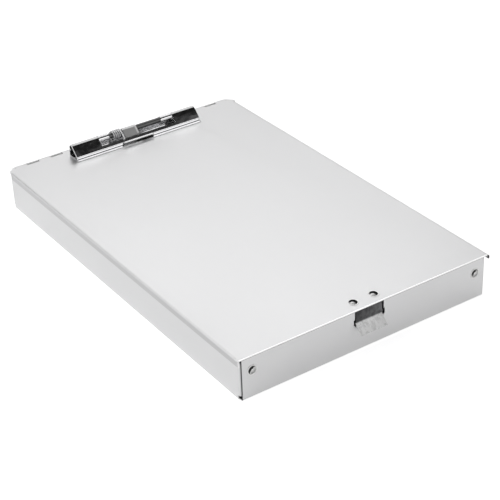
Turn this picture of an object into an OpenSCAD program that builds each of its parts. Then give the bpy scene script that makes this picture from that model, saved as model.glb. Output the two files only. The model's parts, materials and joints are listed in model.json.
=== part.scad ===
// Storage clipboard box: a shallow folded-sheet tray under a hinged writing lid, with a low sprung
// paper clip at the hinge end and a sprung press latch at the front.
// Millimetres. Origin at the centre of the tray's underside, +X right, +Y to the hinge end, +Z up.

/* [Box] */
// Width of the tray over its side walls
tray_w = 228.6; // [200:0.1:280]
// Length of the tray over its end walls
tray_l = 355.6; // [300:0.1:430]
// Height of the closed box, underside to lid top
box_h = 35.7; // [30:0.1:80]
// Thickness of the tray and lid sheet
sheet_t = 0.8; // [0.6:0.05:1.2]
// Outer radius of the bends along the floor
floor_bend_r = 1.6; // [1.4:0.1:4]
// Outer radius of the upright bends at the front corners
front_bend_r = 2.2; // [1.3:0.1:3]
// Outer radius of the upright bends at the hinge-end corners
back_bend_r = 4.2; // [2:0.1:6]
// Reach of the corner return tabs from the side faces
tab_reach = 16; // [14:0.5:24]
// Height of the return tabs' lower edges above the underside
tab_low = 4; // [3:0.1:8]
// Drop from the lid top to the return tabs' upper edges
tab_drop = 3.2; // [2.5:0.1:5]
// Air between a folded end wall and the return tab behind it
seam_gap = 0.25; // [0.05:0.01:0.3]
// Inset of the front wall's ends from the side faces
front_inset = 1.6; // [0.1:0.1:2.5]
// Inset of the hinge-end wall's ends from the side faces
back_inset = 5; // [4.5:0.1:7]

/* [Lid] */
// Gap between the lid's left flange and the tray
lid_gap_left = 0.15; // [0.1:0.05:3]
// Gap between the lid's right flange and the tray
lid_gap_right = 3.1; // [0.1:0.05:4]
// Air between the wall tops and the lid
lid_rest_gap = 0.2; // [0.05:0.05:0.5]
// Further drop of the side walls, clear of the lid's bends
side_drop = 0.4; // [0.3:0.1:1.5]
// Depth of the left flange from the lid top
flange_h = 5.7; // [4:0.1:10]
// Outer radius of the lid's left bend
lid_bend_r = 1.5; // [1.2:0.1:3]
// Outer radius of the lid's rolled right edge
edge_roll_r = 2.6; // [2:0.1:3.4]
// Turn of the lid's rolled right edge
edge_roll_turn = 130; // [90:5:140]
// Distance from the tray's rear face to the ends of the lid's side bends
flange_setback = 7.6; // [5:0.1:12]
// Distance from the tray's rear face to the plate edge between the knuckles
plate_setback = 2.1; // [1.8:0.1:3]
// Size of the 45 degree cuts at the lid's rear corners
lid_chamfer = 5.9; // [3:0.1:6]

/* [Hinge] */
// Diameter of the hinge pin
hinge_pin_d = 2.4; // [1.8:0.1:3.2]
// Radial running clearance on the hinge pin
hinge_clear = 0.05; // [0.02:0.01:0.1]
// Number of knuckles, lid knuckles at both ends
knuckle_count = 19; // [11:2:23]
// Distance from the tray's side faces to the hinge's ends, before its offset
hinge_inset = 4.575; // [4:0.025:8]
// Side gap between neighbouring knuckles
knuckle_gap = 0.3; // [0.2:0.05:0.6]
// Gap where a knuckle's curl comes back to its own sheet
curl_gap = 0.3; // [0.2:0.05:0.5]
// Offset of the hinge's middle from the tray's middle
hinge_shift = 1.8; // [0:0.1:3]
// Length that the pin stands out at each end
pin_proud = 0.3; // [0.1:0.1:1]
// Air between the barrel and the wall edge under it
barrel_gap = 0.3; // [0.2:0.05:0.6]

/* [Rivets] */
// Radius of a cupped rivet's rim
rim_r = 4.4; // [3.9:0.1:4.6]
// Height of the rim above the sheet
rim_h = 0.25; // [0.15:0.05:0.5]
// Radius of the rivet's body in its hole
cup_r = 3.6; // [3.3:0.05:3.7]
// Thickness of the cup's wall
cup_wall = 0.25; // [0.2:0.05:0.4]
// Depth of the ring groove below the sheet
groove_d = 1.1; // [0.6:0.05:1.2]
// Radius of the dome inside the groove
dome_r = 2.6; // [2:0.1:2.8]
// Height of the dome above the groove's floor
dome_h = 1.2; // [0.8:0.1:1.4]
// Radius of the closed tail
tail_r = 4.1; // [3.9:0.1:4.4]
// Thickness of the closed tail
tail_h = 0.7; // [0.4:0.1:1.2]
// Distance of the corner rivets from the side faces
corner_rivet_x = 10.6; // [9:0.1:12]
// Drop of the corner rivets from the lid top
corner_rivet_drop = 12.1; // [10:0.1:16]
// Spacing of the two latch rivets
latch_rivet_gap = 19; // [12:0.1:20]
// Offset of the latch rivets' middle from the tray's middle
latch_rivet_shift = 3.2; // [0:0.1:3.5]
// Distance of the latch rivets from the front face
latch_rivet_y = 10.4; // [9:0.1:13]
// Spacing of the two clip rivets
clip_rivet_gap = 88; // [60:1:110]
// Distance of the clip rivets behind the clip's foot
clip_rivet_y = 7.8; // [6.5:0.1:9]
// Radius of a clip rivet's body
clip_rivet_r = 1.6; // [1.2:0.1:2]
// Radius of a clip rivet's head and tail
clip_rivet_head_r = 2.8; // [2.2:0.1:3.2]
// Height of a clip rivet's head and tail
clip_rivet_head_h = 0.8; // [0.5:0.1:1]

/* [Latch] */
// Thickness of the latch strip
latch_t = 0.6; // [0.4:0.05:0.7]
// Width of the latch strip and its thumb tab
latch_w = 24.8; // [18:0.1:30]
// Offset of the latch strip from the tray's middle
latch_shift = 0.5; // [0:0.1:1]
// Reach of the leaf under the lid beyond each edge of the strip
leaf_side = 4.8; // [4.6:0.1:8]
// Distance from the front face to the leaf's rear edge
leaf_reach = 18; // [16:0.5:24]
// Distance from the front face to the leaf's wide part
leaf_neck = 3; // [2:0.1:4]
// Outer radius of the bend under the lid
latch_bend_r = 1.2; // [1:0.1:1.6]
// Distance of the strip's face behind the tray's front face
latch_recess = 0.1; // [0.05:0.05:0.15]
// Gap at the flexing line
flex_gap = 0.05; // [0.02:0.01:0.1]
// Drop from the lid top to the outward bend
tongue_drop = 10.7; // [9:0.1:12]
// Inner radius of the outward bend
tongue_bend_r = 0.8; // [0.5:0.1:1.5]
// Angle of the thumb tab from the upright
tab_angle = 43; // [30:1:60]
// Length of the thumb tab's flat
tab_flat = 9.6; // [6:0.1:14]
// Reach of the catch ears beyond the strip's edges
ear_reach = 1.55; // [1.2:0.05:1.6]
// Drop from the lid top to the ears' upper edges
ear_top_drop = 8.5; // [8.3:0.1:9]
// Height of the ears
ear_h = 1.9; // [1:0.1:2.2]

/* [Notch] */
// Offset of the notch from the tray's middle
notch_shift = 0.8; // [0:0.1:1]
// Gap between the notch's sides and the strip's edges, before the offset
notch_gap = 1.05; // [0.6:0.05:3]
// Drop from the lid top to the notch's floor
notch_drop = 13.7; // [12:0.1:16]
// Depth of the side slots into the notch's sides
slot_depth = 1; // [0.9:0.05:3]
// Drop from the lid top to the slots' upper edges
slot_top_drop = 7.7; // [7:0.1:8.2]
// Drop from the lid top to the slots' lower edges
slot_low_drop = 12.4; // [10.7:0.1:13]

/* [Clip] */
// Width of the clip
clip_w = 127; // [100:1:160]
// Offset of the clip's middle from the tray's middle
clip_shift = 5; // [0:0.1:6]
// Thickness of the clip's sheet
clip_t = 0.8; // [0.7:0.05:1]
// Distance of the clip's pin axis from the tray's rear face
clip_axis_setback = 12.3; // [10:0.1:16]
// Height of the clip's pin axis above the lid
clip_axis_h = 8.1; // [7:0.1:10]
// Diameter of the clip's pin
clip_pin_d = 4.9; // [3:0.1:6]
// Radial running clearance on the clip's pin
clip_clear = 0.05; // [0.02:0.01:0.1]
// Length of the clip's pin
clip_pin_l = 100; // [84:1:110]
// Slope of the jaw plate
jaw_slope = 42.5; // [35:0.5:50]
// Distance from the pin axis to the jaw's front lip
lip_reach = 10.3; // [9:0.1:12]
// Gap under the closed lip
lip_gap = 0.1; // [0.05:0.05:0.3]
// Inner radius of the bend at the lip
lip_bend_r = 0.5; // [0.3:0.1:1]
// Angle below level where the roll ends
roll_end = 60; // [30:5:65]
// Distance from the pin axis to the base's front edge
foot_reach = 13.3; // [12:0.1:15]
// Outer radius of the base's rear bend
clip_bend_r = 1.5; // [1.2:0.1:2]
// Height of the base's rear wall under the roll
wall_h = 5.4; // [4:0.1:5.4]
// Height of the base's rear wall in the window
wall_low_h = 3.8; // [2.5:0.1:4]
// Offset of the window from the clip's middle
window_shift = 1.1; // [0:0.1:3]
// Width of the window over the hinge parts
window_w = 76.3; // [60:0.1:90]
// Distance from the lip's face back to the window's front edge
lip_strip = 2.3; // [2.2:0.1:5.6]
// Width of the left base knuckle
base_knuckle_a_w = 10.2; // [6:0.1:14]
// Width of the right base knuckle
base_knuckle_b_w = 11.8; // [6:0.1:14]
// Air between the window's ends and the base knuckles
window_gap = 0.3; // [0.2:0.05:1]
// Distance from the clip's middle to the jaw knuckle's middle
jaw_knuckle_shift = -5.3; // [-12:0.1:12]
// Width of the jaw knuckle
jaw_knuckle_w = 14; // [8:0.5:20]
// Width of the break in the lip
thumb_w = 30.5; // [20:0.5:40]
// Offset of the break from the clip's middle
thumb_shift = -1.5; // [-5:0.1:5]
// Side gap between the thumb lip and the jaw's lip
thumb_gap = 0.6; // [0.3:0.1:1]
// Length of the thumb lip's flat root
thumb_root = 1.3; // [1.2:0.1:1.4]
// Inner radius of the thumb lip's curl
thumb_r = 1.4; // [1:0.1:2.5]
// Turn of the thumb lip's curl
thumb_turn = 100; // [60:5:120]

/* [Spring] */
// Diameter of the spring wire
wire_d = 1.3; // [0.8:0.1:1.5]
// Air between the pin and the coil
coil_air = 0.35; // [0.3:0.05:0.8]
// Spacing of the turns
coil_pitch = 1.9; // [1.75:0.05:2.4]
// Number of whole turns
coil_turns = 4; // [3:1:5]
// Distance from the clip's middle to the coil's first turn
coil_shift = -22.6; // [-30:0.1:10]
// Slope at which the jaw leg leaves the coil
leg_slope = 26; // [10:1:30]
// Length of the jaw leg's part along the plate
leg_l = 6.4; // [2:0.1:6.8]
// Air between the jaw leg and the plate
leg_air = 0.3; // [0.2:0.05:0.5]
// Place on the coil where the foot leg leaves it
foot_turn = -30; // [-40:1:-10]
// Length of the foot leg's slanted part
foot_leg_l = 4.3; // [3:0.1:4.6]
// Air under the foot leg's end
wire_air = 0.05; // [0.02:0.01:0.1]

/* [Hidden] */
$fn = 48;
overrun = 1;
bend_steps = 8;
sector_steps = 4;
wire_sides = 6;
rings_per_turn = 8;

tray_top = box_h - sheet_t - lid_rest_gap;
front_y = -tray_l / 2;
rear_y = tray_l / 2;
side_x = tray_w / 2;
side_front_y = front_y + sheet_t + seam_gap + front_bend_r;
side_back_y = rear_y - sheet_t - seam_gap - back_bend_r;
side_len = side_back_y - side_front_y;
side_mid_y = (side_back_y + side_front_y) / 2;
tab_h = box_h - tab_drop - tab_low;

barrel_r = hinge_pin_d / 2 + hinge_clear + sheet_t;
hinge_y = rear_y - sheet_t + barrel_r;
hinge_z = box_h - barrel_r;
hinge_run = tray_w - 2 * hinge_inset;
knuckle_pitch = hinge_run / knuckle_count;
hinge_left = hinge_shift - hinge_run / 2;
hinge_right = hinge_shift + hinge_run / 2;
knuckle_w = knuckle_pitch - knuckle_gap;
back_top = hinge_z - barrel_r - barrel_gap;
notch_w = latch_w + 2 * notch_gap;
slots_w = notch_w + 2 * slot_depth;
ears_w = latch_w + 2 * ear_reach;
leaf_w = latch_w + 2 * leaf_side;

lid_left = -side_x - lid_gap_left - sheet_t;
lid_right = side_x + lid_gap_right + sheet_t;
lid_under = box_h - sheet_t;
flange_end = rear_y - flange_setback;
flange_len = flange_end - front_y;
plate_end = rear_y - plate_setback;

corner_rivet_z = box_h - corner_rivet_drop;
corner_stack = 2 * sheet_t + seam_gap;
latch_stack = sheet_t + latch_t;
clip_stack = sheet_t + clip_t;

strip_y = front_y + latch_recess;
flex_z = lid_under - latch_bend_r;
tongue_z = box_h - tongue_drop;

clip_y = rear_y - clip_axis_setback;
clip_z = box_h + clip_axis_h;
clip_pin_r = clip_pin_d / 2;
roll_r = clip_pin_r + clip_clear + clip_t;
foot_y = clip_y - foot_reach;
window_mid = clip_shift + window_shift;
knuckle_a_x = window_mid - window_w / 2 + window_gap + base_knuckle_a_w / 2;
knuckle_b_x = window_mid + window_w / 2 - window_gap - base_knuckle_b_w / 2;
jaw_knuckle_x = clip_shift + jaw_knuckle_shift;
thumb_x = clip_shift + thumb_shift;

window_reach = lip_reach - lip_strip;
// The jaw knuckle's strip runs on into the plate below the window by this much
knuckle_lap = 0.25;
jaw_strip_len = (window_reach + knuckle_lap - (roll_r - clip_t) * sin(jaw_slope)) / cos(jaw_slope);

// The lip's bend touches the slope's outer face and the lip's outer face
lip_bend_out = lip_bend_r + clip_t;
lip_cy = -lip_reach + lip_bend_out;
lip_cz = (roll_r - lip_bend_out + lip_cy * sin(jaw_slope)) / cos(jaw_slope);
slope_len = -(lip_cy * cos(jaw_slope) + lip_cz * sin(jaw_slope));
lip_low = clip_t + lip_gap - clip_axis_h;
thumb_out = thumb_r + clip_t;

coil_r = clip_pin_r + coil_air + wire_d / 2;
coil_x = clip_shift + coil_shift;

// A profile in the YZ plane, drawn along X about its middle
module along_x(length) {
    rotate([90, 0, 90]) linear_extrude(height = length, center = true) children();
}

// A profile in the XZ plane, drawn along Y about its middle
module along_y(length) {
    rotate([90, 0, 0]) linear_extrude(height = length, center = true) children();
}

// A quarter bend of sheet in the lower left quadrant
module bend(r, t) {
    intersection() {
        difference() {
            circle(r);
            circle(r - t);
        }
        translate([-r, -r]) square(r);
    }
}

// A band of sheet bent from angle a to angle b
module arc_band(r, t, a, b) {
    far = 2 * r;
    intersection() {
        difference() {
            circle(r);
            circle(r - t);
        }
        polygon(concat([[0, 0]], [for (k = [0:sector_steps])
            let (turn = a + (b - a) * k / sector_steps) far * [cos(turn), sin(turn)]]));
    }
}

// A strip of sheet that comes in along -X at the top and curls right round its pin
module curl(r, t, strip) {
    difference() {
        circle(r);
        circle(r - t);
        translate([-r - overrun, r - t - curl_gap]) square([r + overrun, curl_gap]);
    }
    translate([-strip, r - t]) square([strip, t]);
}

// A floor bend with its wall, for a wall on the left of the profile
module folded_wall(top) {
    translate([floor_bend_r, floor_bend_r]) bend(floor_bend_r, sheet_t);
    translate([0, floor_bend_r]) square([sheet_t, top - floor_bend_r]);
}

// A side wall with its two return tabs
module side_wall() {
    translate([0, side_mid_y, 0]) along_y(side_len) translate([-side_x, 0])
        folded_wall(tray_top - side_drop);
    translate([0, 0, tab_low]) linear_extrude(tab_h) {
        translate([-side_x + front_bend_r, side_front_y]) bend(front_bend_r, sheet_t);
        translate([-side_x + front_bend_r, side_front_y - front_bend_r])
            square([tab_reach - front_bend_r, sheet_t]);
        translate([-side_x + back_bend_r, side_back_y]) mirror([0, 1]) bend(back_bend_r, sheet_t);
        translate([-side_x + back_bend_r, side_back_y + back_bend_r - sheet_t])
            square([tab_reach - back_bend_r, sheet_t]);
    }
}

module knuckle_at(i) {
    translate([hinge_left + (i + 1 / 2) * knuckle_pitch, hinge_y, hinge_z]) along_x(knuckle_w)
        children();
}

// The round place of a corner rivet, as seen from outside the wall
module at_corner_rivet(x_side, y_side) {
    translate([x_side * (side_x - corner_rivet_x), y_side * tray_l / 2, corner_rivet_z])
        rotate([-90 * y_side, 0, 0]) children();
}

module at_latch_rivet(x_side) {
    translate([latch_rivet_shift + x_side * latch_rivet_gap / 2, front_y + latch_rivet_y, box_h])
        children();
}

module at_clip_rivet(x_side) {
    translate([clip_shift + x_side * clip_rivet_gap / 2, foot_y + clip_rivet_y, box_h + clip_t])
        children();
}

// A hole down through a stack of sheet
module through(r, stack) {
    translate([0, 0, -stack - overrun]) cylinder(r = r, h = stack + 2 * overrun);
}

module tray() {
    color("silver") difference() {
        union() {
            translate([-side_x + floor_bend_r, front_y + floor_bend_r, 0])
                cube([tray_w - 2 * floor_bend_r, tray_l - 2 * floor_bend_r, sheet_t]);
            side_wall();
            mirror([1, 0, 0]) side_wall();
            along_x(tray_w - 2 * front_inset) translate([front_y, 0]) folded_wall(tray_top);
            along_x(tray_w - 2 * back_inset) translate([rear_y, 0]) mirror([1, 0]) folded_wall(back_top);
            for (i = [1:2:knuckle_count - 2])
                knuckle_at(i) rotate(90) curl(barrel_r, sheet_t, hinge_z - back_top + sheet_t);
        }
        // the front wall's notch with its side slots
        translate([notch_shift - notch_w / 2, front_y - overrun, box_h - notch_drop])
            cube([notch_w, sheet_t + 2 * overrun, notch_drop]);
        translate([notch_shift - slots_w / 2, front_y - overrun, box_h - slot_low_drop])
            cube([slots_w, sheet_t + 2 * overrun, slot_low_drop - slot_top_drop]);
        for (x_side = [-1, 1]) {
            for (y_side = [-1, 1]) at_corner_rivet(x_side, y_side) through(cup_r, corner_stack);
        }
    }
}

// A cupped rivet standing on its sheet, closed under the stack
module cupped_rivet(stack) {
    dome_ball = (dome_r * dome_r + dome_h * dome_h) / (2 * dome_h);
    color("gainsboro") rotate_extrude() {
        translate([cup_r - cup_wall, 0]) square([rim_r - cup_r + cup_wall, rim_h]);
        translate([cup_r - cup_wall, -stack]) square([cup_wall, stack]);
        translate([0, -stack]) square([cup_r - cup_wall, stack - groove_d]);
        translate([0, -stack - tail_h]) square([tail_r, tail_h]);
        intersection() {
            translate([0, dome_h - groove_d - dome_ball]) circle(dome_ball);
            translate([0, -groove_d]) square([dome_r, dome_h]);
        }
    }
}

module corner_rivet_front_left() {
    at_corner_rivet(-1, -1) cupped_rivet(corner_stack);
}

module corner_rivet_front_right() {
    at_corner_rivet(1, -1) cupped_rivet(corner_stack);
}

module corner_rivet_back_left() {
    at_corner_rivet(-1, 1) cupped_rivet(corner_stack);
}

module corner_rivet_back_right() {
    at_corner_rivet(1, 1) cupped_rivet(corner_stack);
}

module hinge_pin() {
    color("dimgray") translate([hinge_shift, hinge_y, hinge_z]) rotate([0, 90, 0])
        cylinder(d = hinge_pin_d, h = hinge_run + 2 * pin_proud, center = true);
}

// The lid's left flange, its corner at the origin
module lid_flange() {
    translate([lid_bend_r, -lid_bend_r]) mirror([0, 1]) bend(lid_bend_r, sheet_t);
    translate([0, -flange_h]) square([sheet_t, flange_h - lid_bend_r]);
}

module lid() {
    color("silver") difference() {
        union() {
            translate([0, 0, lid_under]) linear_extrude(sheet_t) {
                translate([lid_left + lid_bend_r, front_y])
                    square([lid_right - lid_left - lid_bend_r - edge_roll_r, plate_end - front_y]);
                polygon([[lid_left, flange_end], [lid_left, hinge_y - lid_chamfer],
                    [lid_left + lid_chamfer, hinge_y], [hinge_left, hinge_y], [hinge_left, plate_end],
                    [hinge_right, plate_end], [hinge_right, hinge_y], [lid_right - lid_chamfer, hinge_y],
                    [lid_right, hinge_y - lid_chamfer], [lid_right, flange_end]]);
            }
            translate([0, front_y + flange_len / 2, box_h]) along_y(flange_len) {
                translate([lid_left, 0]) lid_flange();
                translate([lid_right - edge_roll_r, -edge_roll_r])
                    arc_band(edge_roll_r, sheet_t, 90 - edge_roll_turn, 90);
            }
            for (i = [0:2:knuckle_count - 1])
                knuckle_at(i) curl(barrel_r, sheet_t, hinge_y - plate_end + sheet_t);
        }
        for (x_side = [-1, 1]) {
            at_latch_rivet(x_side) through(cup_r, latch_stack);
            at_clip_rivet(x_side) through(clip_rivet_r, clip_stack);
        }
    }
}

// The part of the latch strip that is riveted under the lid
module latch_leaf() {
    color("gray") difference() {
        union() {
            translate([latch_shift - leaf_w / 2, front_y + leaf_neck, lid_under - latch_t])
                cube([leaf_w, leaf_reach - leaf_neck, latch_t]);
            translate([latch_shift - latch_w / 2, strip_y + latch_bend_r, lid_under - latch_t])
                cube([latch_w, leaf_neck - latch_recess - latch_bend_r, latch_t]);
            translate([latch_shift, strip_y + latch_bend_r, flex_z]) along_x(latch_w)
                mirror([0, 1]) bend(latch_bend_r, latch_t);
        }
        for (x_side = [-1, 1]) at_latch_rivet(x_side) through(cup_r, latch_stack);
    }
}

// The part of the latch strip that flexes, with its catch ears and thumb tab
module latch_tongue() {
    color("gray") translate([latch_shift, strip_y, 0]) {
        along_x(latch_w) {
            translate([0, tongue_z]) square([latch_t, flex_z - flex_gap - tongue_z]);
            translate([-tongue_bend_r, tongue_z]) {
                arc_band(tongue_bend_r + latch_t, latch_t, -tab_angle, 0);
                rotate(-tab_angle) translate([tongue_bend_r, -tab_flat]) square([latch_t, tab_flat]);
            }
        }
        along_x(ears_w) translate([0, box_h - ear_top_drop - ear_h]) square([latch_t, ear_h]);
    }
}

module latch_rivet_left() {
    at_latch_rivet(-1) cupped_rivet(latch_stack);
}

module latch_rivet_right() {
    at_latch_rivet(1) cupped_rivet(latch_stack);
}

// The base's knuckle profile, its strip rising at the rear
module base_curl() {
    mirror([1, 0]) rotate(90) curl(roll_r, clip_t, clip_axis_h - wall_low_h + clip_t);
}

module clip_base() {
    wall_y = clip_y + roll_r;
    color("whitesmoke") difference() {
        union() {
            translate([clip_shift - clip_w / 2, foot_y, box_h])
                cube([clip_w, wall_y - clip_bend_r - foot_y, clip_t]);
            translate([clip_shift, wall_y, box_h]) along_x(clip_w) {
                translate([-clip_bend_r, clip_bend_r]) mirror([1, 0]) bend(clip_bend_r, clip_t);
                translate([-clip_t, clip_bend_r]) square([clip_t, wall_h - clip_bend_r]);
            }
            translate([knuckle_a_x, clip_y, clip_z]) along_x(base_knuckle_a_w) base_curl();
            translate([knuckle_b_x, clip_y, clip_z]) along_x(base_knuckle_b_w) base_curl();
        }
        // the wall is lower between the two knuckles
        translate([knuckle_a_x + base_knuckle_a_w / 2, wall_y - clip_t - overrun, box_h + wall_low_h])
            cube([knuckle_b_x - knuckle_a_x - (base_knuckle_a_w + base_knuckle_b_w) / 2,
                clip_t + 2 * overrun, clip_axis_h]);
        for (x_side = [-1, 1]) at_clip_rivet(x_side) through(clip_rivet_r, clip_stack);
    }
}

module clip_rivet() {
    color("gainsboro") rotate_extrude() {
        translate([0, -clip_stack]) square([clip_rivet_r, clip_stack]);
        square([clip_rivet_head_r, clip_rivet_head_h]);
        translate([0, -clip_stack - clip_rivet_head_h]) square([clip_rivet_head_r, clip_rivet_head_h]);
    }
}

module clip_rivet_left() {
    at_clip_rivet(-1) clip_rivet();
}

module clip_rivet_right() {
    at_clip_rivet(1) clip_rivet();
}

function arc_points(c, r, a, b) =
    [for (k = [0:bend_steps]) let (turn = a + (b - a) * k / bend_steps) c + r * [cos(turn), sin(turn)]];
function down_slope(length, r) =
    [-length * cos(jaw_slope) - r * sin(jaw_slope), r * cos(jaw_slope) - length * sin(jaw_slope)];
slope_turn = 90 + jaw_slope;
lip_centre = [lip_cy, lip_cz];
thumb_centre = down_slope(slope_len, roll_r + thumb_r);
thumb_start = jaw_slope - 90;

// The sloping plate from the roll to its lower bend, and the lip under the bend
jaw_front_points = concat(
    [down_slope(0, roll_r)],
    arc_points(lip_centre, lip_bend_out, slope_turn, 180),
    [[-lip_reach, lip_low], [clip_t - lip_reach, lip_low]],
    arc_points(lip_centre, lip_bend_r, 180, slope_turn),
    [down_slope(0, roll_r - clip_t)]);

// The thumb lip's root on the slope, and its curl forward and up
thumb_points = concat(
    [down_slope(slope_len - thumb_root, roll_r)],
    arc_points(thumb_centre, thumb_r, thumb_start, thumb_start - thumb_turn),
    arc_points(thumb_centre, thumb_out, thumb_start - thumb_turn, thumb_start),
    [down_slope(slope_len - thumb_root, roll_r - clip_t)]);

module clip_jaw() {
    color("whitesmoke") translate([0, clip_y, clip_z]) {
        difference() {
            translate([clip_shift, 0, 0]) along_x(clip_w) {
                arc_band(roll_r, clip_t, -roll_end, slope_turn);
                polygon(jaw_front_points);
            }
            // the window over the hinge parts
            translate([window_mid - window_w / 2, -window_reach, -roll_r - overrun])
                cube([window_w, window_reach + roll_r + overrun, 2 * (roll_r + overrun)]);
            // the break in the lip
            translate([thumb_x - thumb_w / 2 - thumb_gap, -lip_reach - overrun, lip_low - overrun])
                cube([thumb_w + 2 * thumb_gap, lip_bend_out + overrun, lip_cz - lip_low + 2 * overrun]);
        }
        translate([jaw_knuckle_x, 0, 0]) along_x(jaw_knuckle_w)
            rotate(jaw_slope) curl(roll_r, clip_t, jaw_strip_len);
        translate([thumb_x, 0, 0]) along_x(thumb_w) polygon(thumb_points);
    }
}

module clip_pin() {
    color("dimgray") translate([window_mid, clip_y, clip_z]) rotate([0, 90, 0])
        cylinder(r = clip_pin_r, h = clip_pin_l, center = true);
}

// The wire's middle line: a leg up from the base, the coil, then a leg that lies on the jaw plate
coil_span = coil_turns + (90 + leg_slope - foot_turn) / 360;
coil_steps = round(coil_span * rings_per_turn);
function coil_angle(k) = foot_turn + 360 * coil_span * k / coil_steps;
function out_of(a) = [0, cos(a), sin(a)];
function ahead_of(a) = [0, -sin(a), cos(a)];
function on_coil(k) =
    [coil_x + coil_pitch * coil_span * k / coil_steps, 0, 0] + coil_r * out_of(coil_angle(k));
function ring(c, u) = [for (i = [0:wire_sides - 1])
    let (a = 360 * i / wire_sides) c + wire_d / 2 * (cos(a) * u + sin(a) * [1, 0, 0])];
coil_start = on_coil(0);
coil_stop = on_coil(coil_steps);
foot_bend = coil_start - foot_leg_l * ahead_of(foot_turn);
foot_end = [foot_bend[0], foot_bend[1], clip_t + wire_air - clip_axis_h];
// The jaw leg leaves the coil at its own slope and turns parallel to the plate above it
plate_normal = out_of(90 + jaw_slope);
plate_ahead = ahead_of(90 + jaw_slope);
rise_needed = roll_r + leg_air + wire_d / 2 - coil_stop * plate_normal;
rise_rate = ahead_of(90 + leg_slope) * plate_normal;
leg_bend = coil_stop + rise_needed / rise_rate * ahead_of(90 + leg_slope);
rings = concat(
    [ring(foot_end, out_of(0))],
    [ring(foot_bend, out_of(foot_turn / 2))],
    [for (k = [0:coil_steps]) ring(on_coil(k), out_of(coil_angle(k)))],
    [ring(leg_bend, out_of(90 + (leg_slope + jaw_slope) / 2))],
    [ring(leg_bend + leg_l * plate_ahead, plate_normal)]);
ring_count = len(rings);
ring_points = [for (r = rings) for (p = r) p];
function at(r, i) = r * wire_sides + i % wire_sides;
ring_faces = concat(
    [for (i = [1:wire_sides - 2]) [at(0, 0), at(0, i + 1), at(0, i)]],
    [for (r = [0:ring_count - 2]) for (i = [0:wire_sides - 1]) [at(r, i), at(r, i + 1), at(r + 1, i)]],
    [for (r = [0:ring_count - 2]) for (i = [0:wire_sides - 1])
        [at(r, i + 1), at(r + 1, i + 1), at(r + 1, i)]],
    [for (i = [1:wire_sides - 2])
        [at(ring_count - 1, 0), at(ring_count - 1, i), at(ring_count - 1, i + 1)]]);

module clip_spring() {
    color("lightgray") translate([0, clip_y, clip_z]) polyhedron(ring_points, ring_faces);
}

// The wire's least gap to itself, from points on its middle line that are a turn or more apart
coil_gap = min([for (k = [0:coil_steps - rings_per_turn])
    norm(on_coil(k + rings_per_turn) - on_coil(k))]) - wire_d;
echo(least_gap_of_spring = coil_gap);

tray();
corner_rivet_front_left();
corner_rivet_front_right();
corner_rivet_back_left();
corner_rivet_back_right();
hinge_pin();
lid();
latch_leaf();
latch_tongue();
latch_rivet_left();
latch_rivet_right();
clip_base();
clip_rivet_left();
clip_rivet_right();
clip_jaw();
clip_pin();
clip_spring();
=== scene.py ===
import json
import math
from collections import namedtuple

import bmesh
import bpy
from mathutils import Matrix, Vector
from mathutils.noise import noise_vector, seed_set


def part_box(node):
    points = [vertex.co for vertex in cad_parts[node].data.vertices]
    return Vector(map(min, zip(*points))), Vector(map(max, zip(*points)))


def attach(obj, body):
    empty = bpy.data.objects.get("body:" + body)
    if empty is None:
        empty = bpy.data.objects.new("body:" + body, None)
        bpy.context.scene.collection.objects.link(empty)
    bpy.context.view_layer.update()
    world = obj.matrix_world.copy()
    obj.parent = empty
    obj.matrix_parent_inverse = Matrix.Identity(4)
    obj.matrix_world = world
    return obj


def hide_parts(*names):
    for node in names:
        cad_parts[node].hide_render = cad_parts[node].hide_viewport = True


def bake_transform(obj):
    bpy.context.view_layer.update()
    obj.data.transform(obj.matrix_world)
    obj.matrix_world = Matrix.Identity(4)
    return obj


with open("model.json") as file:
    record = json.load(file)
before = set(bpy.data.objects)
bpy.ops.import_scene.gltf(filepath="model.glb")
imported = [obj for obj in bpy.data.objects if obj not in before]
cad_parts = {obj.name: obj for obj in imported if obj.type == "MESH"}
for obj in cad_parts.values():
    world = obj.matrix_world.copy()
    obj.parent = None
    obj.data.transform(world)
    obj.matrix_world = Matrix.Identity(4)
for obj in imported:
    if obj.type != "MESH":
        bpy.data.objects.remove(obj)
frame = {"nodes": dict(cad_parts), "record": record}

MM = 0.001
# The turned pieces stray alike in every run
NOISE_SEED = 1
scene = bpy.context.scene
nodes = frame["nodes"]
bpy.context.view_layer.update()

# Each node's body, from the imported record
BODIES = {n: b for b, members in frame["record"]["behaviour"]["bodies"].items() for n in members}

# Tray and lid, in millimetres in the part's own frame
TRAY_W = 228.6
TRAY_L = 355.6
SIDE_X = TRAY_W / 2
FRONT_Y = -TRAY_L / 2
REAR_Y = TRAY_L / 2
LID_TOP = 35.7
SHEET_T = 0.8
SEAM_GAP = 0.25

# Latch strip: its edges, and the height of the bend where its thumb tab starts
LATCH_T = 0.6
STRIP_LEFT = -11.9
STRIP_RIGHT = 12.9
TAB_TOP = 25.0

# Clip: its left end, sheet, pin and roll, the front face and foot of its lip, and its middle knuckle
CLIP_X = 5
CLIP_W = 127
CLIP_LEFT = CLIP_X - CLIP_W / 2
CLIP_T = 0.8
CLIP_AXIS_Y = 165.5
CLIP_AXIS_H = 8.1
CLIP_AXIS_Z = LID_TOP + CLIP_AXIS_H
CLIP_PIN_R = 2.45
CLIP_PIN_CLEAR = 0.05
CLIP_ROLL_R = CLIP_PIN_R + CLIP_PIN_CLEAR + CLIP_T
LIP_REACH = 10.3
LIP_GAP = 0.1
LIP_Y = CLIP_AXIS_Y - LIP_REACH
LIP_Z = LID_TOP + CLIP_T + LIP_GAP
KNUCKLE_LEFT = -7.3
KNUCKLE_RIGHT = 6.7

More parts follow.
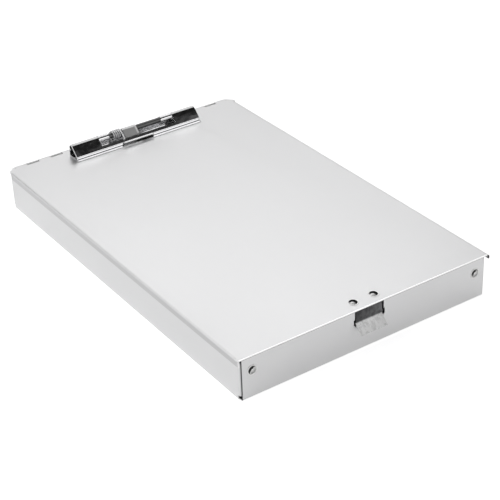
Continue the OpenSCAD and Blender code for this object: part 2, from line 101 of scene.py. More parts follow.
# Cupped rivets
RIM_R = 4.4
RIM_H = 0.25
CUP_R = 3.6
CUP_WALL = 0.25
GROOVE_R = CUP_R - CUP_WALL
GROOVE_D = 1.1
DOME_R = 2.6
DOME_H = 1.2
TAIL_R = 4.1
TAIL_H = 0.7
# Where the painted shadow in a rivet's ring groove starts, as shares of the dome's radius
GROOVE_SHADOW_SHARE = 0.9
CORNER_GROOVE_SHADOW_SHARE = 0.42
CORNER_RIVET_X = 10.6
CORNER_RIVET_DROP = 12.1
LATCH_RIVET_SHIFT = 3.2
LATCH_RIVET_GAP = 19
LATCH_RIVET_Y = 10.4

# A tone's zone is a tuple of limits: along an axis it is full at one place and has faded out at the other.
# A shaded zone is painted shade: it keeps a share of its colour. A highlight zone is a painted highlight:
# it is pale and smooth, and its first value is the share of its mirror that it loses, so that lamps light
# it.
Limit = namedtuple("Limit", "axis full clear")
Shaded = namedtuple("Shaded", "share zone")
PaintedHighlight = namedtuple("PaintedHighlight", "burr zone")


def make_camera():
    """The camera that was fitted to the box's straight edges."""
    eye = Vector((-0.56013, -0.87332, 0.62609))
    azimuth, elevation, roll = (math.radians(a) for a in (-33.397, 31.230, -2.275))
    focal_pixels = 1463.14
    frame_pixels = 500
    sensor = 36
    back = Vector((math.sin(azimuth) * math.cos(elevation), -math.cos(azimuth) * math.cos(elevation),
                   math.sin(elevation)))
    right = (-back).cross(Vector((0, 0, 1))).normalized()
    up = right.cross(-back)
    turned_right = math.cos(roll) * right + math.sin(roll) * up
    turned_up = -math.sin(roll) * right + math.cos(roll) * up
    data = bpy.data.cameras.new("camera")
    data.sensor_width = sensor
    data.lens = focal_pixels * sensor / frame_pixels
    data.clip_end = 50
    cam = bpy.data.objects.new("camera", data)
    scene.collection.objects.link(cam)
    cam.matrix_world = Matrix((
        (turned_right.x, turned_up.x, back.x, eye.x),
        (turned_right.y, turned_up.y, back.y, eye.y),
        (turned_right.z, turned_up.z, back.z, eye.z),
        (0, 0, 0, 1)))
    scene.camera = cam


def rgba(colour):
    """A shader colour from a grey level or from three levels."""
    if isinstance(colour, (int, float)):
        colour = (colour, colour, colour)
    return (*colour, 1)


def fed_by(socket):
    """What an input gets now: the output linked to it, or its own value."""
    if socket.is_linked:
        return socket.links[0].from_socket
    return socket.default_value


class Tree:
    """A node tree, with short ways to add nodes and to feed their inputs."""

    def __init__(self, tree):
        self.nodes = tree.nodes
        self.links = tree.links

    def feed(self, node, inputs):
        """Each input takes another node's output or a plain value."""
        for key, value in inputs.items():
            if isinstance(value, bpy.types.NodeSocket):
                self.links.new(value, node.inputs[key])
            else:
                node.inputs[key].default_value = value

    def add(self, kind, inputs=None, **settings):
        """A new node. Its settings come first, because some of them change what inputs it has."""
        node = self.nodes.new("ShaderNode" + kind)
        for name, value in settings.items():
            setattr(node, name, value)
        self.feed(node, inputs or {})
        return node

    def noise(self, vector, scale, detail, rough):
        inputs = {"Vector": vector, "Scale": scale, "Detail": detail, "Roughness": rough}
        return self.add("TexNoise", inputs).outputs["Fac"]

    def spread(self, value, low, high, from_low=0.3, from_high=0.7):
        """Stretches a value from one range to another and holds it at the ends."""
        inputs = {"Value": value, "From Min": from_low, "From Max": from_high,
                  "To Min": low, "To Max": high}
        return self.add("MapRange", inputs).outputs["Result"]

    def maths(self, operation, a, b):
        return self.add("Math", {0: a, 1: b}, operation=operation).outputs[0]

    def mix(self, factor, a, b, how="MIX", kind="RGBA"):
        inputs = {"Factor": factor, "A": a, "B": b}
        return self.add("Mix", inputs, data_type=kind, blend_type=how).outputs["Result"]


class Material(Tree):
    """A material around one Principled shader, with its looks in object coordinates."""

    def __init__(self, name, metallic=0.0):
        self.made = bpy.data.materials.new(name)
        self.made.use_nodes = True
        super().__init__(self.made.node_tree)
        self.shader = self.nodes["Principled BSDF"]
        self.feed(self.shader, {"Metallic": metallic})

    def grain(self, scale, detail, rough, stretch=(1, 1, 1)):
        """Noise in the object's own coordinates."""
        coord = self.add("TexCoord")
        mapping = self.add("Mapping", {"Scale": stretch, "Vector": coord.outputs["Object"]})
        return self.noise(mapping.outputs["Vector"], scale, detail, rough)

    def two_colours(self, factor, dark, pale):
        return self.mix(factor, rgba(dark), rgba(pale))

    def painted_crevice_shade(self, colour, reach, floor):
        """Painted shade: darkens a colour where the surface is shut in."""
        light = self.add("AmbientOcclusion", {"Distance": reach * MM}, samples=8).outputs["AO"]
        shade = self.spread(light, low=floor, high=1.0, from_low=0.15, from_high=0.6)
        return self.mix(1.0, colour, shade, "MULTIPLY")

    def mask(self, zone):
        """1 inside a zone, 0 outside it."""
        point = self.add("SeparateXYZ", {"Vector": self.add("TexCoord").outputs["Object"]})
        inside = [self.spread(point.outputs[limit.axis], low=0.0, high=1.0,
                              from_low=limit.clear * MM, from_high=limit.full * MM) for limit in zone]
        whole = inside[0]
        for part in inside[1:]:
            whole = self.maths("MULTIPLY", whole, part)
        return whole

    def shade(self, colour, share, *zone):
        """Paints shade: leaves only a share of a colour inside a zone."""
        return self.mix(self.mask(zone), colour, rgba(share), "MULTIPLY")

    def paint_highlight(self, diffuse_share, *zone):
        """Paints a highlight: makes a zone of the finished material pale and smooth, and takes a share off
        its mirror.
        """
        pale = 0.98
        smooth = 0.16
        mask = self.mask(zone)
        now = {key: fed_by(self.shader.inputs[key]) for key in ("Base Color", "Roughness", "Metallic")}
        self.feed(self.shader, {
            "Base Color": self.mix(mask, now["Base Color"], rgba(pale)),
            "Roughness": self.mix(mask, now["Roughness"], smooth, kind="FLOAT")})
        if diffuse_share:
            mirror = self.spread(mask, low=1.0, high=1.0 - diffuse_share, from_low=0.0, from_high=1.0)
            self.feed(self.shader, {"Metallic": self.maths("MULTIPLY", now["Metallic"], mirror)})

    def bump(self, height, strength, depth):
        """Uneven light from a height, whose depth is in millimetres."""
        bump = self.add("Bump", {"Strength": strength, "Distance": depth * MM, "Height": height})
        self.feed(self.shader, {"Normal": bump.outputs["Normal"]})


def satin_aluminium(name, reach, shaded, polished):
    """Sheet with a fine rolled grain along Y, faint clouds, a satin face, painted shade and painted
    highlights.
    """
    m = Material(name, metallic=1.0)
    rolled = m.grain(scale=1.0, detail=3.0, rough=0.6, stretch=(2600, 70, 2600))
    cloud = m.grain(scale=14.0, detail=3.0, rough=0.55)
    speck = m.grain(scale=1500.0, detail=2.0, rough=0.6)
    sheet = m.two_colours(cloud, dark=(0.80, 0.80, 0.805), pale=(0.84, 0.84, 0.845))
    for share, zone in shaded:
        sheet = m.shade(sheet, share, *zone)
    rough = m.maths("ADD", m.spread(rolled, low=0.38, high=0.44), m.spread(cloud, low=-0.015, high=0.015))
    m.feed(m.shader, {"Base Color": m.painted_crevice_shade(sheet, reach, floor=0.3), "Roughness": rough})
    m.bump(m.maths("ADD", rolled, speck), strength=0.12, depth=0.02)
    for diffuse_share, zone in polished:
        m.paint_highlight(diffuse_share, *zone)
    return m.made


def corner_seam(side):
    """Painted shadow in the open seam beside the front wall's end, on the left for -1 and on the right for
    1.
    """
    return (Limit("X", full=side * (SIDE_X - 1.7), clear=side * (SIDE_X - 2)),
            Limit("X", full=side * (SIDE_X - 0.3), clear=side * SIDE_X),
            Limit("Y", full=FRONT_Y + SHEET_T, clear=FRONT_Y + 1.4))


def tray_finish():
    """Painted shadow in the seams at the front corners and painted highlights on the knuckle tops."""
    knuckle_tops = (Limit("Y", full=REAR_Y + 0.1, clear=REAR_Y - 0.3),
                    Limit("Z", full=LID_TOP - 1.1, clear=LID_TOP - 1.7))
    return satin_aluminium(
        "tray_aluminium", reach=0.5,
        shaded=[Shaded(0.12, corner_seam(-1)), Shaded(0.12, corner_seam(1))],
        polished=[PaintedHighlight(0.85, knuckle_tops)])


def lid_finish():
    """Painted shade on the left flange and the rolled edge's front end, and a painted highlight on the
    front edge.
    """
    flange = (Limit("X", full=-SIDE_X + 0.1, clear=-SIDE_X + 0.5),
              Limit("Z", full=LID_TOP - 1.9, clear=LID_TOP - 0.5))
    roll_end = (Limit("X", full=SIDE_X + 1.9, clear=SIDE_X + 1.3),
                Limit("Y", full=FRONT_Y + SHEET_T, clear=FRONT_Y + 2.3),
                Limit("Z", full=LID_TOP - 0.7, clear=LID_TOP - 0.3))
    front_edge = (Limit("X", full=SIDE_X + 1.1, clear=SIDE_X + 1.7),
                  Limit("Y", full=FRONT_Y + 0.3, clear=FRONT_Y + SHEET_T))
    return satin_aluminium(
        "lid_aluminium", reach=1.5,
        shaded=[Shaded(0.78, flange), Shaded(0.1, roll_end)],
        polished=[PaintedHighlight(0, front_edge)])


def nickel():
    """Plated rivet metal, a little worn, with painted shade in its crevices."""
    m = Material("rivet_nickel", metallic=0.6)
    wear = m.grain(scale=900.0, detail=4.0, rough=0.6)
    plate = m.two_colours(wear, dark=(0.88, 0.88, 0.875), pale=(0.98, 0.98, 0.975))
    m.feed(m.shader, {
        "Base Color": m.painted_crevice_shade(plate, reach=0.4, floor=0.6),
        "Roughness": m.spread(wear, low=0.28, high=0.44)})
    m.bump(wear, strength=0.2, depth=0.04)
    return m.made


def groove_shadow_paint():
    """Painted shadow: the near black lining of part of a rivet's ring groove."""
    m = Material("groove_shadow_paint")
    speckle = m.grain(scale=1800.0, detail=3.0, rough=0.6)
    m.feed(m.shader, {
        "Base Color": m.two_colours(speckle, dark=(0.004, 0.004, 0.004), pale=(0.02, 0.019, 0.018)),
        "Roughness": m.spread(speckle, low=0.6, high=0.85)})
    m.bump(speckle, strength=0.3, depth=0.03)
    return m.made


def chrome(name, metallic=1.0, reach=2.5, floor=0.15, shaded=(), polished=()):
    """Hazy plating on wavy pressed sheet, with painted shade and painted highlights."""
    m = Material(name, metallic)
    haze = m.grain(scale=260.0, detail=4.0, rough=0.6)
    waves = m.grain(scale=70.0, detail=1.5, rough=0.4, stretch=(1, 2, 2))
    plate = m.two_colours(haze, dark=(0.74, 0.74, 0.75), pale=(0.94, 0.94, 0.95))
    for share, zone in shaded:
        plate = m.shade(plate, share, *zone)
    m.feed(m.shader, {
        "Base Color": m.painted_crevice_shade(plate, reach, floor),
        "Roughness": m.spread(haze, low=0.05, high=0.14)})
    m.bump(waves, strength=0.5, depth=0.4)
    for diffuse_share, zone in polished:
        m.paint_highlight(diffuse_share, *zone)
    return m.made


def clip_base_finish():
    """Painted shade: a dark patch on the base plate, right of the middle knuckle."""
    patch = (Limit("X", full=CLIP_X + 5, clear=CLIP_X + 14), Limit("X", full=CLIP_X + 2, clear=CLIP_X))
    return chrome("base_chrome", shaded=[Shaded(0.4, patch)])


def clip_jaw_finish():
    """Painted shadow on the lip's foot, and painted highlights on the left end, roll crest and middle
    knuckle.
    """
    crest_z = CLIP_AXIS_Z + CLIP_ROLL_R
    lip_foot = (Limit("Y", full=LIP_Y + CLIP_T, clear=LIP_Y + 1.1),
                Limit("Z", full=LIP_Z + 0.15, clear=LIP_Z + 0.55))
    left_end = (Limit("X", full=CLIP_LEFT + 0.2, clear=CLIP_LEFT + 0.6),)
    crest = (Limit("Z", full=crest_z - 0.4, clear=crest_z - 0.8),)
    knuckle_end = Limit("X", full=KNUCKLE_RIGHT - 0.1, clear=KNUCKLE_RIGHT + 0.2)
    knuckle = (Limit("X", full=KNUCKLE_LEFT + 0.1, clear=KNUCKLE_LEFT - 0.3), knuckle_end,
               Limit("Z", full=CLIP_AXIS_Z - 2.2, clear=CLIP_AXIS_Z - 3.4))
    bright_line = (Limit("X", full=KNUCKLE_RIGHT - 1.1, clear=KNUCKLE_RIGHT - 2.1), knuckle_end,
                   Limit("Z", full=CLIP_AXIS_Z - 1.4, clear=CLIP_AXIS_Z - 2.4))
    return chrome("jaw_chrome", shaded=[Shaded(0.06, lip_foot)],
                  polished=[PaintedHighlight(0.9, left_end), PaintedHighlight(0.85, crest), PaintedHighlight(0.45, knuckle),
                            PaintedHighlight(0.9, bright_line)])


def latch_steel(name, cut_edge=False):
    """Dimpled spring steel, painted dark as shade on the upright strip and its ears, pale on the thumb
    tab's face.
    """
    m = Material(name, metallic=1.0)
    mottle = m.grain(scale=330.0, detail=6.0, rough=0.65, stretch=(1, 0.6, 0.7))
    blotch = m.spread(mottle, low=0.0, high=1.0, from_low=0.40, from_high=0.58)
    # The upright strip's dark tone is painted shade, darker towards its left and at its left edge.
    dark = m.two_colours(blotch, dark=(0.10, 0.10, 0.103), pale=(0.19, 0.19, 0.195))
    dark = m.shade(dark, 0.5, Limit("X", full=STRIP_LEFT, clear=STRIP_RIGHT))
    dark = m.shade(dark, 0.35, Limit("X", full=STRIP_LEFT, clear=STRIP_LEFT + 0.9))
    pale = m.two_colours(blotch, dark=0.62, pale=0.98)
    # Painted shade: the tab's face darkens towards the right.
    pale = m.shade(pale, 0.86, Limit("X", full=STRIP_RIGHT, clear=STRIP_RIGHT - 8.9))
    # Painted shade on the tab's underside, where its own normal turns down.
    facing = m.add("SeparateXYZ", {"Vector": m.add("TexCoord").outputs["Normal"]}).outputs["Z"]
    turned_up = m.spread(facing, low=0.06, high=1.0, from_low=-0.15, from_high=0.0)
    pale = m.mix(1.0, pale, turned_up, "MULTIPLY")
    on_tab = m.mask([Limit("Z", full=TAB_TOP - 0.8, clear=TAB_TOP + 0.4)])
    steel = m.painted_crevice_shade(m.mix(on_tab, dark, pale), reach=2.0, floor=0.05)
    above_tab = Limit("Z", full=TAB_TOP + 0.6, clear=TAB_TOP)
    # The ears are painted near black above the tab, as shadow in their slots.
    for edge, outward in ((STRIP_LEFT, -1), (STRIP_RIGHT, 1)):
        ear = Limit("X", full=edge + outward * 0.5, clear=edge + outward * 0.05)
        steel = m.shade(steel, 0.1, ear, above_tab)
    m.feed(m.shader, {"Base Color": steel, "Roughness": m.spread(mottle, low=0.30, high=0.52)})
    # A painted highlight on the tab's cut left edge.
    if cut_edge:
        m.paint_highlight(0.95, Limit("X", full=STRIP_LEFT + 0.3, clear=STRIP_LEFT + 0.6),
                 Limit("Z", full=TAB_TOP - 0.4, clear=TAB_TOP))
    m.bump(mottle, strength=0.3, depth=0.05)
    return m.made


def drawn_steel(name, dark, pale):
    """Wire and rod with fine lines along X."""
    m = Material(name, metallic=1.0)
    lines = m.grain(scale=1.0, detail=3.0, rough=0.6, stretch=(60, 3000, 3000))
    m.feed(m.shader, {
        "Base Color": m.two_colours(lines, dark, pale),
        "Roughness": m.spread(lines, low=0.25, high=0.4)})
    return m.made


def add_piece(name, mesh, node, rides=True):
    """Puts a mesh into the scene in place of its CAD node, with that node's finish."""
    obj = bpy.data.objects.new(name, mesh)
    scene.collection.objects.link(obj)
    obj.data.materials.clear()
    obj.data.materials.append(FINISHES[node])
    if rides:
        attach(obj, BODIES[node])
    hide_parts(node)
    return obj


def eased_copy(node, ease):
    """The CAD shape with its sharp sheet edges eased."""
    weld = 1e-6
    flat_angle = 0.3
    edge_angle = 40
    mesh = nodes[node].data.copy()
    bm = bmesh.new()
    bm.from_mesh(mesh)
    bmesh.ops.remove_doubles(bm, verts=bm.verts, dist=weld)
    bmesh.ops.dissolve_limit(bm, angle_limit=math.radians(flat_angle), verts=bm.verts, edges=bm.edges,
                             delimit={"NORMAL"})
    for face in bm.faces:
        face.smooth = True
    bm.to_mesh(mesh)
    bm.free()
    for attribute in ("custom_normal", "sharp_face", "sharp_edge"):
        if attribute in mesh.attributes:
            mesh.attributes.remove(mesh.attributes[attribute])
    obj = add_piece("finished_" + node, mesh, node)
    bevel = obj.modifiers.new("ease", "BEVEL")
    bevel.width = ease * MM
    bevel.segments = 2
    bevel.limit_method = "ANGLE"
    bevel.angle_limit = math.radians(edge_angle)
    bevel.harden_normals = True


def mesh_piece(name, bm, node, rides=True):
    """A piece from a mesh that was made here, smooth but for its sharp edges."""
    sharp_angle = 35
    bmesh.ops.recalc_face_normals(bm, faces=bm.faces)
    for face in bm.faces:
        face.smooth = True
    mesh = bpy.data.meshes.new(name)
    bm.to_mesh(mesh)
    bm.free()
    mesh.set_sharp_from_angle(angle=math.radians(sharp_angle))
    return add_piece(name, mesh, node, rides)


def arc(centre, radius, start, stop, steps):
    """Points of an arc, its angles in degrees."""
    turns = [math.radians(start + (stop - start) * k / steps) for k in range(steps + 1)]
    return [(centre[0] + radius * math.cos(t), centre[1] + radius * math.sin(t)) for t in turns]


def lathe(profile, place, segments, wobble, seed, lean=(0, 0), lean_rings=0):
    """A turned solid: profile of (radius, height) in mm from one end on the axis to the other.

    Wobble is how far its points stray, in mm. The first lean_rings rings stand off the axis by lean.
    """
    wobble_scale = 0.45
    seed_step = 7.3
    stray_from = Vector((seed * seed_step, 0, 0))
    bm = bmesh.new()
    rings = []
    for index, (radius, height) in enumerate(profile):
        ring = []
        for k in range(segments if radius > 0 else 1):
            turn = 2 * math.pi * k / segments
            p = Vector((radius * math.cos(turn), radius * math.sin(turn), height))
            p += wobble * noise_vector(p * wobble_scale + stray_from)
            if index < lean_rings:
                p += Vector((*lean, 0))
            ring.append(bm.verts.new(place @ (p * MM)))
        rings.append(ring)
    for low, high in zip(rings, rings[1:]):
        for k in range(segments):
            corners = [low[k % len(low)], low[(k + 1) % len(low)],
                       high[(k + 1) % len(high)], high[k % len(high)]]
            bm.faces.new(list(dict.fromkeys(corners)))
    return bm


def cupped_rivet_places():
    """For each cupped rivet: the middle of its rim's foot, its turn, and the thickness that it holds."""
    places = {}
    for x_name, x_side in (("left", -1), ("right", 1)):
        for y_name, y_side in (("front", -1), ("back", 1)):
            spot = Vector((x_side * (SIDE_X - CORNER_RIVET_X), y_side * TRAY_L / 2,
                           LID_TOP - CORNER_RIVET_DROP))
            turn = Matrix.Rotation(math.radians(-90 * y_side), 4, "X")
            places["corner_rivet_%s_%s" % (y_name, x_name)] = (spot, turn, 2 * SHEET_T + SEAM_GAP)
        spot = Vector((LATCH_RIVET_SHIFT + x_side * LATCH_RIVET_GAP / 2, FRONT_Y + LATCH_RIVET_Y, LID_TOP))
        places["latch_rivet_" + x_name] = (spot, Matrix.Identity(4), SHEET_T + LATCH_T)
    return places


def cupped_rivet_profile(stack):
    """The outline from the dome over the rim to the closed tail, and the count of its rings on the dome.

    A small dimple takes the place of the dome's first points, and a fillet that of its last one.
    """
    dimple_r, dimple_d, dimple_edge_d = 0.35, 0.10, 0.06
    dome_steps = 10
    dome_foot_r, dome_foot_steps = 0.12, 3
    groove_edge_r, groove_edge_steps = 0.18, 4
    bead_share, bead_steps = 0.55, 5
    tail_edge_r, tail_edge_steps, tail_ease = 0.3, 5, 0.1
    tail_flat_share, tail_dish = 0.55, 0.12
    bead = RIM_H * bead_share
    ball = (DOME_R ** 2 + DOME_H ** 2) / (2 * DOME_H)
    half = math.degrees(math.asin(DOME_R / ball))
    tail_z = -stack - TAIL_H
    dome = arc((0, DOME_H - GROOVE_D - ball), ball, 90, 90 - half, dome_steps)
    dome_top = dome[0][1]
    profile = [(0.0, dome_top - dimple_d), (dimple_r, dome_top - dimple_edge_d)] + dome[2:-1]
    dome_rings = len(profile) + dome_foot_steps
    profile += arc((DOME_R + dome_foot_r, dome_foot_r - GROOVE_D), dome_foot_r, 200, 270, dome_foot_steps)
    profile += arc((GROOVE_R - groove_edge_r, groove_edge_r - GROOVE_D), groove_edge_r, 270, 360,
                   groove_edge_steps)
    profile += arc((GROOVE_R + bead, RIM_H - bead), bead, 180, 90, bead_steps)
    profile += arc((RIM_R - bead, RIM_H - bead), bead, 90, 0, bead_steps)
    profile += [(RIM_R, 0), (CUP_R, 0), (CUP_R, -stack), (TAIL_R - tail_ease, -stack)]
    profile += arc((TAIL_R - tail_edge_r, tail_z + tail_edge_r), tail_edge_r, 0, -90, tail_edge_steps)
    profile += [(TAIL_R * tail_flat_share, tail_z), (0, tail_z + tail_dish)]
    return profile, dome_rings


def in_groove_shadow(at, lean, far_share):
    """Whether a point in the rivet's own millimetres is in the painted shadow of its ring groove.

    The side that the dome leans to is left unpainted. On the far side the shadow starts at far_share of
    the dome's radius, and between the two at the share that all rivets use.
    """
    wall_slack, floor_slack, rim_slack = 0.08, 0.05, 0.02
    unshaded_from = 0.35
    least = 0.01
    off_dome = math.hypot(at.x - lean[0], at.y - lean[1])
    across = math.hypot(at.x, at.y)
    towards_lean = (at.x * lean[0] + at.y * lean[1]) / (max(across, least) * math.hypot(*lean))
    share = far_share if towards_lean < 0 else GROOVE_SHADOW_SHARE
    in_ring = off_dome > DOME_R * share and across < GROOVE_R + wall_slack
    in_depth = -GROOVE_D - floor_slack < at.z < rim_slack
    return in_ring and in_depth and towards_lean < unshaded_from


def make_cupped_rivets():
    """Corner and latch rivets, whose domes lean a little and whose ring grooves have painted shadow away
    from the lean.
    """
    wobble = 0.035
    for seed, (node, (spot, turn, stack)) in enumerate(cupped_rivet_places().items()):
        if node.startswith("latch"):
            lean, far_share = (-0.6, 0.05), GROOVE_SHADOW_SHARE
        else:
            lean, far_share = (0.35, -0.4), CORNER_GROOVE_SHADOW_SHARE
        profile, dome_rings = cupped_rivet_profile(stack)
        place = Matrix.Translation(spot * MM) @ turn
        turned = lathe(profile, place, segments=64, wobble=wobble, seed=seed, lean=lean,
                       lean_rings=dome_rings)
        rivet = mesh_piece("turned_" + node, turned, node)
        rivet.data.materials.append(GROOVE_SHADOW)
        # Faces in the painted shadow of the ring groove take the near black material.
        back = place.inverted()
        for face in rivet.data.polygons:
            if in_groove_shadow(back @ face.center / MM, lean, far_share):
                face.material_index = 1


def make_clip_rivets():
    """Round-edged rivets through the base plate and the lid, with a head above and a like tail below."""
    body_r, head_r, head_h = 1.6, 2.8, 0.8
    head_edge_r, head_turn = 0.6, 80
    tail_edge_r, tail_turn = 0.5, 85
    edge_steps = 6
    wobble = 0.02
    under_z = -SHEET_T - CLIP_T
    for x_name, x_side in (("left", -1), ("right", 1)):
        node = "clip_rivet_" + x_name
        low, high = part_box(node)
        middle = (Vector(low) + Vector(high)) / 2
        spot = Vector((middle.x, middle.y, (LID_TOP + CLIP_T) * MM))
        profile = [(0, head_h)]
        profile += arc((head_r - head_edge_r, head_h - head_edge_r), head_edge_r, head_turn, 0, edge_steps)
        profile += [(head_r, 0), (body_r, 0), (body_r, under_z), (head_r, under_z)]
        profile += arc((head_r - tail_edge_r, under_z - head_h + tail_edge_r), tail_edge_r, 0, -tail_turn,
                       edge_steps)
        profile += [(0, under_z - head_h)]
        turned = lathe(profile, Matrix.Translation(spot), segments=48, wobble=wobble, seed=x_side)
        mesh_piece("turned_" + node, turned, node)


def make_pins():
    """The long hinge's pin and the clip's pin, with chamfered ends."""
    wobble = 0.004
    steps = 40
    for seed, (node, chamfer) in enumerate((("hinge_pin", 0.25), ("clip_pin", 0.4))):
        low, high = (Vector(v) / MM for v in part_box(node))
        middle = (low + high) / 2
        half = (high.x - low.x) / 2
        r = (high.z - low.z) / 2
        profile = [(0, -half), (r - chamfer, -half)]
        profile += [(r, -half + chamfer + (2 * half - 2 * chamfer) * k / steps) for k in range(steps + 1)]
        profile += [(r - chamfer, half), (0, half)]
        place = Matrix.Translation(middle * MM) @ Matrix.Rotation(math.radians(90), 4, "Y")
        mesh_piece("turned_" + node, lathe(profile, place, segments=32, wobble=wobble, seed=seed), node)


def rounded(points, corner, reach):
    """The path with one of its corners turned into a smooth bend."""
    steps = 6
    longest_share = 0.9
    before, at, after = points[corner - 1], points[corner], points[corner + 1]
    a = at + (before - at).normalized() * min(reach, (before - at).length * longest_share)
    b = at + (after - at).normalized() * min(reach, (after - at).length * longest_share)
    bend = []
    for k in range(steps + 1):
        t = k / steps
        bend.append(a * (1 - t) ** 2 + at * 2 * t * (1 - t) + b * t ** 2)
    return points[:corner] + bend + points[corner + 1:]


def wire(path, radius, sides=14):
    """A round wire with ends that taper a little, along a path with y and z from the clip's pin axis."""
    end_l = 0.15
    end_share = 0.5
    start = path[0] + (path[1] - path[0]).normalized() * end_l
    stop = path[-1] + (path[-2] - path[-1]).normalized() * end_l
    stations = [(path[0], end_share), (start, 1.0)] + [(p, 1.0) for p in path[1:-1]]
    stations += [(stop, 1.0), (path[-1], end_share)]
    bm = bmesh.new()
    rings = []
    for k, (p, share) in enumerate(stations):
        before = stations[max(k - 1, 0)][0]
        after = stations[min(k + 1, len(stations) - 1)][0]
        t = (after - before).normalized()
        u = Vector((1, 0, 0))
        u = (u - u.dot(t) * t).normalized()
        v = t.cross(u)
        ring = []
        for i in range(sides):
            a = 2 * math.pi * i / sides
            q = p + radius * share * (math.cos(a) * u + math.sin(a) * v)
            ring.append(bm.verts.new(Vector((q.x, q.y + CLIP_AXIS_Y, q.z + CLIP_AXIS_Z)) * MM))
        rings.append(ring)
    for low, high in zip(rings, rings[1:]):
        for i in range(sides):
            bm.faces.new((low[i], low[(i + 1) % sides], high[(i + 1) % sides], high[i]))
    bm.faces.new(rings[0])
    bm.faces.new(rings[-1])
    return bm


def make_spring():
    """The clip's torsion spring: a foot just over the base plate, the coil, and a leg under the jaw."""
    wire_r, pitch, turns, steps = 0.65, 1.9, 4, 150
    coil_x = CLIP_X - 22.6
    leg_slope, foot_turn, jaw_slope = 26, -30, 42.5
    foot_leg, foot_bend_reach, wire_air = 4.3, 1.0, 0.05
    jaw_leg, leg_bend_reach, leg_air = 6.4, 1.2, 0.3
    coil_air = 0.35
    coil_r = CLIP_PIN_R + coil_air + wire_r
    span = turns + (90 + leg_slope - foot_turn) / 360

    def out_of(a):
        return Vector((0, math.cos(math.radians(a)), math.sin(math.radians(a))))

    def ahead_of(a):
        return Vector((0, -math.sin(math.radians(a)), math.cos(math.radians(a))))

    coil = []
    for k in range(steps + 1):
        turned = span * k / steps
        coil.append(Vector((coil_x + pitch * turned, 0, 0)) + coil_r * out_of(foot_turn + 360 * turned))
    foot_bend = coil[0] - foot_leg * ahead_of(foot_turn)
    foot_end = Vector((foot_bend.x, foot_bend.y, CLIP_T + wire_air - CLIP_AXIS_H))
    normal, along = out_of(90 + jaw_slope), ahead_of(90 + jaw_slope)
    rise = CLIP_ROLL_R + leg_air + wire_r - coil[-1].dot(normal)
    leg_bend = coil[-1] + rise / ahead_of(90 + leg_slope).dot(normal) * ahead_of(90 + leg_slope)
    path = [foot_end, foot_bend] + coil + [leg_bend, leg_bend + jaw_leg * along]
    path = rounded(path, len(path) - 2, leg_bend_reach)
    path = rounded(path, 1, foot_bend_reach)
    spring = mesh_piece("wound_spring", wire(path, wire_r), "clip_spring", rides=False)
    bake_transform(spring)


def make_world():
    """Bright up to the horizon, dark overhead with faint clouds, and plain white to the camera."""
    level = 0.75
    overhead = 0.01
    stops = ((0.0, level), (0.30, 0.85 * level), (0.48, 0.25 * level), (0.66, overhead), (1.0, overhead))
    world = bpy.data.worlds.new("studio")
    scene.world = world
    world.use_nodes = True
    tree = Tree(world.node_tree)
    direction = tree.add("TexCoord").outputs["Generated"]
    height = tree.add("SeparateXYZ", {"Vector": direction}).outputs["Z"]
    ramp = tree.add("ValToRGB", {"Fac": height})
    elements = ramp.color_ramp.elements
    for element, (position, value) in zip(elements, (stops[0], stops[-1])):
        element.position = position
        element.color = rgba(value)
    for position, value in stops[1:-1]:
        elements.new(position).color = rgba(value)
    clouds = tree.noise(direction, scale=9.0, detail=3.0, rough=0.6)
    clouds = tree.spread(clouds, low=0.0, high=0.12, from_low=0.48, from_high=0.66)
    sky = tree.mix(1.0, ramp.outputs["Color"], clouds, "ADD")
    to_camera = tree.add("LightPath").outputs["Is Camera Ray"]
    tree.feed(tree.nodes["Background"], {"Color": tree.mix(to_camera, sky, rgba(1.0))})


def add_lamp(name, place, size, power):
    """A soft box of the given width and height in metres, aimed at the origin."""
    data = bpy.data.lights.new(name, "AREA")
    data.shape = "RECTANGLE"
    data.size, data.size_y = size
    data.energy = power
    lamp = bpy.data.objects.new(name, data)
    scene.collection.objects.link(lamp)
    lamp.location = place
    lamp.rotation_euler = (-Vector(place)).to_track_quat("-Z", "Y").to_euler()


def make_lamps():
    add_lamp("key", place=(-1.9, 0.5, 1.5), size=(1.6, 1.6), power=23)
    add_lamp("back", place=(0.95, 1.4, 1.5), size=(1.5, 1.1), power=6.8)
    add_lamp("fill", place=(-0.3, 1.35, 1.65), size=(1.1, 0.8), power=4)
    add_lamp("top", place=(1.04, 0.33, 1.9), size=(0.9, 0.9), power=2)
    add_lamp("front", place=(1.25, -1.65, 1.15), size=(1.2, 0.7), power=3)


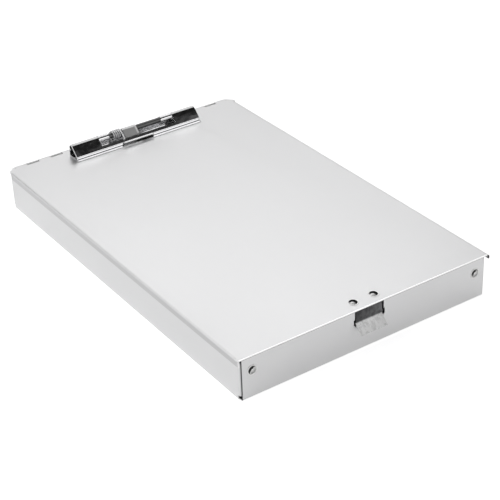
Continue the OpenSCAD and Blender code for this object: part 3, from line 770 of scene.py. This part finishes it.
def make_floor():
    """A plain floor that keeps its shadows. It glows for the camera and, less, in reflections."""
    half_size = 6
    drop = 0.0002
    camera_glow = 0.75
    gloss_glow = 0.34
    bm = bmesh.new()
    bmesh.ops.create_grid(bm, x_segments=8, y_segments=8, size=half_size)
    mesh = bpy.data.meshes.new("floor")
    bm.to_mesh(mesh)
    bm.free()
    floor = bpy.data.objects.new("floor", mesh)
    floor.location.z = -drop
    scene.collection.objects.link(floor)
    m = Material("floor")
    m.feed(m.shader, {"Base Color": rgba(0.86), "Roughness": 0.9})
    path = m.add("LightPath")
    to_camera = m.maths("MULTIPLY", path.outputs["Is Camera Ray"], camera_glow)
    to_gloss = m.maths("MULTIPLY", path.outputs["Is Glossy Ray"], gloss_glow)
    glow = m.add("Emission", {"Strength": m.maths("ADD", to_camera, to_gloss)})
    both = m.add("AddShader", {0: m.shader.outputs[0], 1: glow.outputs[0]})
    m.feed(m.nodes["Material Output"], {"Surface": both.outputs[0]})
    mesh.materials.append(m.made)


seed_set(NOISE_SEED)
make_camera()
GROOVE_SHADOW = groove_shadow_paint()
FINISHES = {
    "tray": tray_finish(),
    "lid": lid_finish(),
    "latch_leaf": latch_steel("spring_steel"),
    "latch_tongue": latch_steel("tongue_steel", cut_edge=True),
    "clip_base": clip_base_finish(),
    "clip_jaw": clip_jaw_finish(),
    # The spring's crevices take deep painted shade.
    "clip_spring": chrome("spring_chrome", metallic=0.35, reach=1.0, floor=0.02),
    # The clip pin's darker tone than the hinge pin's is painted shade.
    "clip_pin": drawn_steel("clip_pin_steel", dark=0.08, pale=0.26),
    "hinge_pin": drawn_steel("pin_steel", dark=0.45, pale=0.62),
}
rivet_finish = nickel()
FINISHES.update({node: rivet_finish for node in nodes if "rivet" in node})
# How far the edges of each sheet piece are eased, in millimetres
EASES = {"tray": 0.12, "lid": 0.28, "latch_leaf": 0.08, "latch_tongue": 0.26, "clip_base": 0.12,
         "clip_jaw": 0.22}
for node, ease in EASES.items():
    eased_copy(node, ease)
make_cupped_rivets()
make_clip_rivets()
make_pins()
make_spring()
make_world()
make_lamps()
make_floor()
scene.view_settings.view_transform = "Standard"
